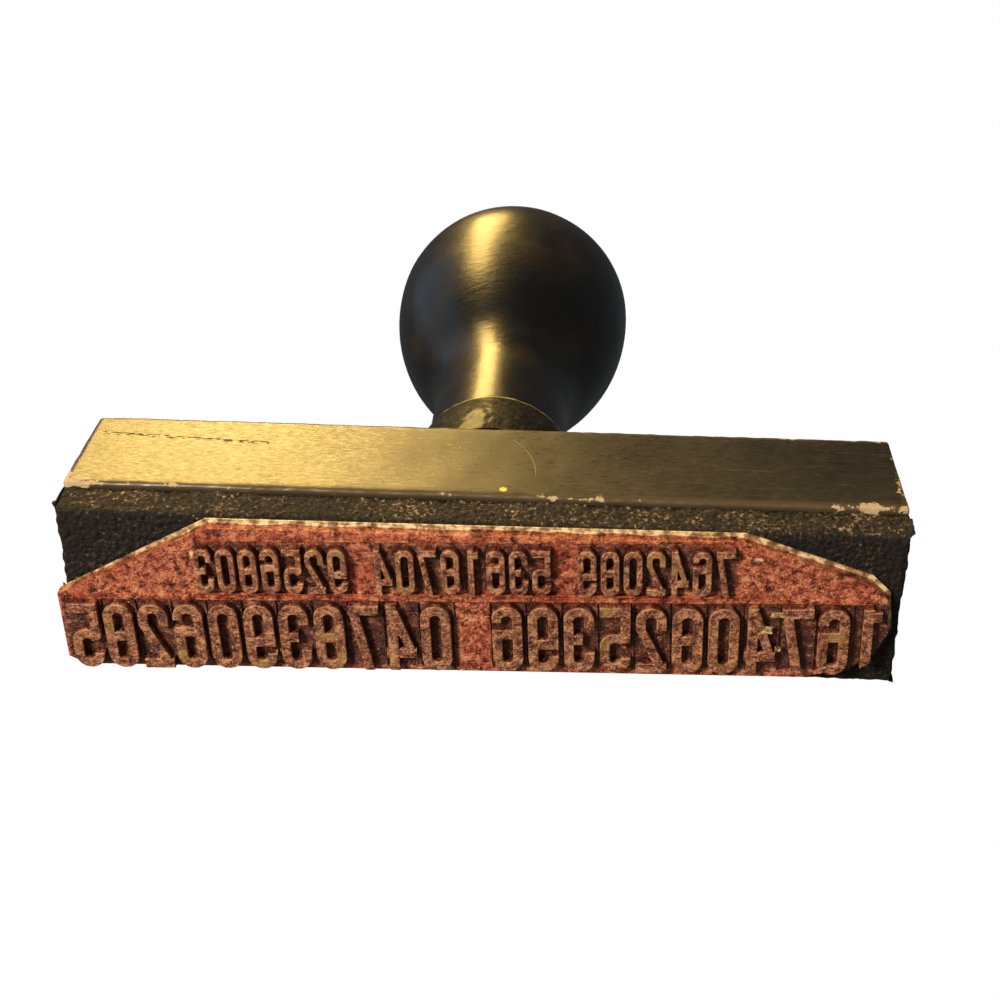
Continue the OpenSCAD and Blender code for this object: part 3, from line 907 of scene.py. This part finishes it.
def zincSteel(spec):
    # Mild steel, thread cut on a lathe and zinc plated: grey, soft-edged reflections.
    material, tree, shader, place = startMaterial("zincPlatedSteel")
    cloud = addNode(tree, "TexNoise", {"Scale": perMm(1.5), "Detail": 3.0}, {"Vector": place})
    tone = addNode(tree, "ValToRGB", {"stops": [(0.35, "#8b8a84"), (0.65, spec["steel"])]},
                   {"Fac": cloud.outputs[0]})
    tree.links.new(tone.outputs[0], shader.inputs["Base Color"])
    shader.inputs["Metallic"].default_value = 1.0
    shine = addNode(tree, "MapRange", {"To Min": 0.25, "To Max": 0.45}, {"Value": cloud.outputs[0]})
    tree.links.new(shine.outputs[0], shader.inputs["Roughness"])
    return material


handleScrew = settle(buildScrew(threadSpec), "block", zincSteel(threadSpec), "steel", "handle_screw")


# ---- handle collar

collarSpec = {
    "sides": 120,
    "lumpSpacing": 1.3,
    "lumpDepth": 0.20,
    "black": "#15140f",
    # pale rim colour: bare wood, and a painted highlight line along the top edge
    "worn": "#c2b183",
}

collarLow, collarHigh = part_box("handle_collar")
boreRadius = screwRadius / millimetre + 0.08  # mm, free to turn on the screw


def buildCollar(spec):
    foot, rim = collarLow.z / millimetre, collarHigh.z / millimetre
    fullest = collarHigh.x / millimetre - 0.02
    tall = rim - foot
    profile = [(1.0, foot + 0.05), (fullest - 1.4, foot + 0.05)]
    for i in range(15):
        share = i / 14
        z = foot + 0.05 + share * (tall - 0.35)
        fromFullest = (z - foot) / tall - 0.3
        bulge = 1.9 * fromFullest ** 2
        profile.append((fullest - bulge, z))
    profile += [(fullest - 1.15, rim - 0.12), (fullest - 1.5, rim - 0.02), (boreRadius + 0.4, rim - 0.02),
                (1.0, rim - 0.02)]
    collar = turnedShape("handleCollar", profile, spec["sides"])
    # bored right through, so that it turns freely on the screw
    drillHole(collar, boreRadius * millimetre, (tall + 10) * millimetre, inMm(0, 0, (foot + rim) / 2), 96)
    applyModifier(collar, "SUBSURF", subdivision_type="SIMPLE", levels=1, render_levels=1)
    roughen(collar, spec["lumpSpacing"], spec["lumpDepth"],
            where=lambda p: (p.xy.length / millimetre - 7.0) / 1.5)
    smoothSkin(collar, 50)
    return collar


def roughEnamel(spec):
    # Black enamel daubed over a turned wooden bead: lumpy, half glossy, rubbed bare at its rim. The pale rim
    # is also a painted highlight line.
    material, tree, shader, place = startMaterial("daubedBlackEnamel")
    lumps = addNode(tree, "TexNoise", {"Scale": perMm(0.8), "Detail": 4.0, "Roughness": 0.65},
                    {"Vector": place})
    tone = addNode(tree, "ValToRGB", {"stops": [(0.35, "#0b0b09"), (0.55, spec["black"]),
                                                (0.70, "#33322b")]}, {"Fac": lumps.outputs[0]})
    level = addNode(tree, "SeparateXYZ", links={0: place})
    # wear and painted highlight: a pale band along the top rim
    rim = addNode(tree, "MapRange", {"From Min": collarHigh.z - 0.75 * millimetre,
                                     "From Max": collarHigh.z - 0.45 * millimetre, "To Max": 0.9},
                  {"Value": level.outputs[2]})
    rubbed = addNode(tree, "Mix", {"data_type": "RGBA", 7: spec["worn"]},
                     {0: rim.outputs[0], 6: tone.outputs[0]})
    tree.links.new(rubbed.outputs[2], shader.inputs["Base Color"])
    shine = addNode(tree, "MapRange", {"To Min": 0.30, "To Max": 0.75}, {"Value": lumps.outputs[0]})
    tree.links.new(shine.outputs[0], shader.inputs["Roughness"])
    shader.inputs["Specular IOR Level"].default_value = 0.12
    shader.inputs["Coat Weight"].default_value = 0.25
    shader.inputs["Coat Roughness"].default_value = 0.18
    bump = addNode(tree, "Bump", {"Strength": 0.8, "Distance": 0.3 * millimetre},
                   {"Height": lumps.outputs[0]})
    tree.links.new(bump.outputs[0], shader.inputs["Normal"])
    return material


handleCollar = settle(buildCollar(collarSpec), "collar", roughEnamel(collarSpec), "black_enamel",
                      "handle_collar")


# ---- handle knob

knobSpec = {
    "sides": 128,
    "neck": 8.68,  # radius of the neck, mm
    "flank": 32.0,  # radius of the long curve below the widest point, mm
    "hollow": 14.0,  # radius of the hollow curve above the neck, mm
    "boreDepth": 16.0,
    "waveSpacing": 11.0,
    "waveDepth": 0.12,
    "black": "#090909",
    "brown": "#20180c",
}

knobLow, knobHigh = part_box("handle_knob")


def buildKnob(spec):
    foot, top = knobLow.z / millimetre, knobHigh.z / millimetre
    fullest = knobHigh.x / millimetre - 0.01
    centre = top - fullest
    neck, flank, hollow = spec["neck"], spec["flank"], spec["hollow"]
    # the hollow curve leaves the neck at neckTop and meets the long flank where share says
    across = neck + hollow - (fullest - flank)
    down = math.sqrt((flank + hollow) ** 2 - across ** 2)
    neckTop, share = centre - down, flank / (flank + hollow)
    meet = centre - down * share
    profile = [(boreRadius, foot + spec["boreDepth"]), (boreRadius, foot + 0.5),
               (boreRadius + 0.5, foot + 0.03), (neck - 0.7, foot + 0.03), (neck - 0.3, foot + 0.16),
               (neck - 0.08, foot + 0.4), (neck, foot + 0.8)]
    for i in range(8):
        profile.append((neck, foot + 1.5 + (neckTop - foot - 1.5) * i / 8))
    for i in range(14):
        z = neckTop + (meet - neckTop) * i / 14
        profile.append((neck + hollow - math.sqrt(hollow ** 2 - (z - neckTop) ** 2), z))
    for i in range(24):
        z = meet + (centre - meet) * i / 24
        profile.append((fullest - flank + math.sqrt(flank ** 2 - (centre - z) ** 2), z))
    for i in range(31):
        angle = math.pi / 2 * i / 31
        profile.append((fullest * math.cos(angle), centre + fullest * math.sin(angle)))
    profile.append((fullest * 0.02, top - 0.005))
    knob = turnedShape("handleKnob", profile, spec["sides"])
    roughen(knob, spec["waveSpacing"], spec["waveDepth"],
            where=lambda p: (p.xy.length / millimetre - 5) / 4)
    smoothSkin(knob, 50)
    return knob


def blackLacquer(spec):
    # Hardwood turned on a lathe, black lacquer flowed on by brush. It gives deep gloss, slow waves
    # and faint brush strokes, with brown showing through where the palm has polished it thin.
    material, tree, shader, place = startMaterial("brushedBlackLacquer")
    cloud = addNode(tree, "TexNoise", {"Scale": perMm(9), "Detail": 4.0, "Roughness": 0.6},
                    {"Vector": place})
    flattened = addNode(tree, "Mapping", {"Scale": (perMm(1.8), perMm(1.8), perMm(0.55))}, {"Vector": place})
    strokes = addNode(tree, "TexNoise", {"Scale": 1.0, "Detail": 3.0, "Roughness": 0.6},
                      {"Vector": flattened.outputs[0]})
    thin = addNode(tree, "MapRange", {"From Min": 0.52, "From Max": 0.75}, {"Value": cloud.outputs[0]})
    tone = addNode(tree, "Mix", {"data_type": "RGBA", 6: spec["black"], 7: spec["brown"]},
                   {0: thin.outputs[0]})
    tree.links.new(tone.outputs[2], shader.inputs["Base Color"])
    shine = addNode(tree, "MapRange", {"From Min": 0.3, "From Max": 0.7, "To Min": 0.26, "To Max": 0.40},
                    {"Value": cloud.outputs[0]})
    tree.links.new(shine.outputs[0], shader.inputs["Roughness"])
    bump = addNode(tree, "Bump", {"Strength": 0.5, "Distance": 0.1 * millimetre},
                   {"Height": strokes.outputs[0]})
    tree.links.new(bump.outputs[0], shader.inputs["Normal"])
    shader.inputs["Coat Weight"].default_value = 0.12
    shader.inputs["Coat Roughness"].default_value = 0.2
    return material


handleKnob = settle(buildKnob(knobSpec), "knob", blackLacquer(knobSpec), "black_lacquer", "handle_knob")
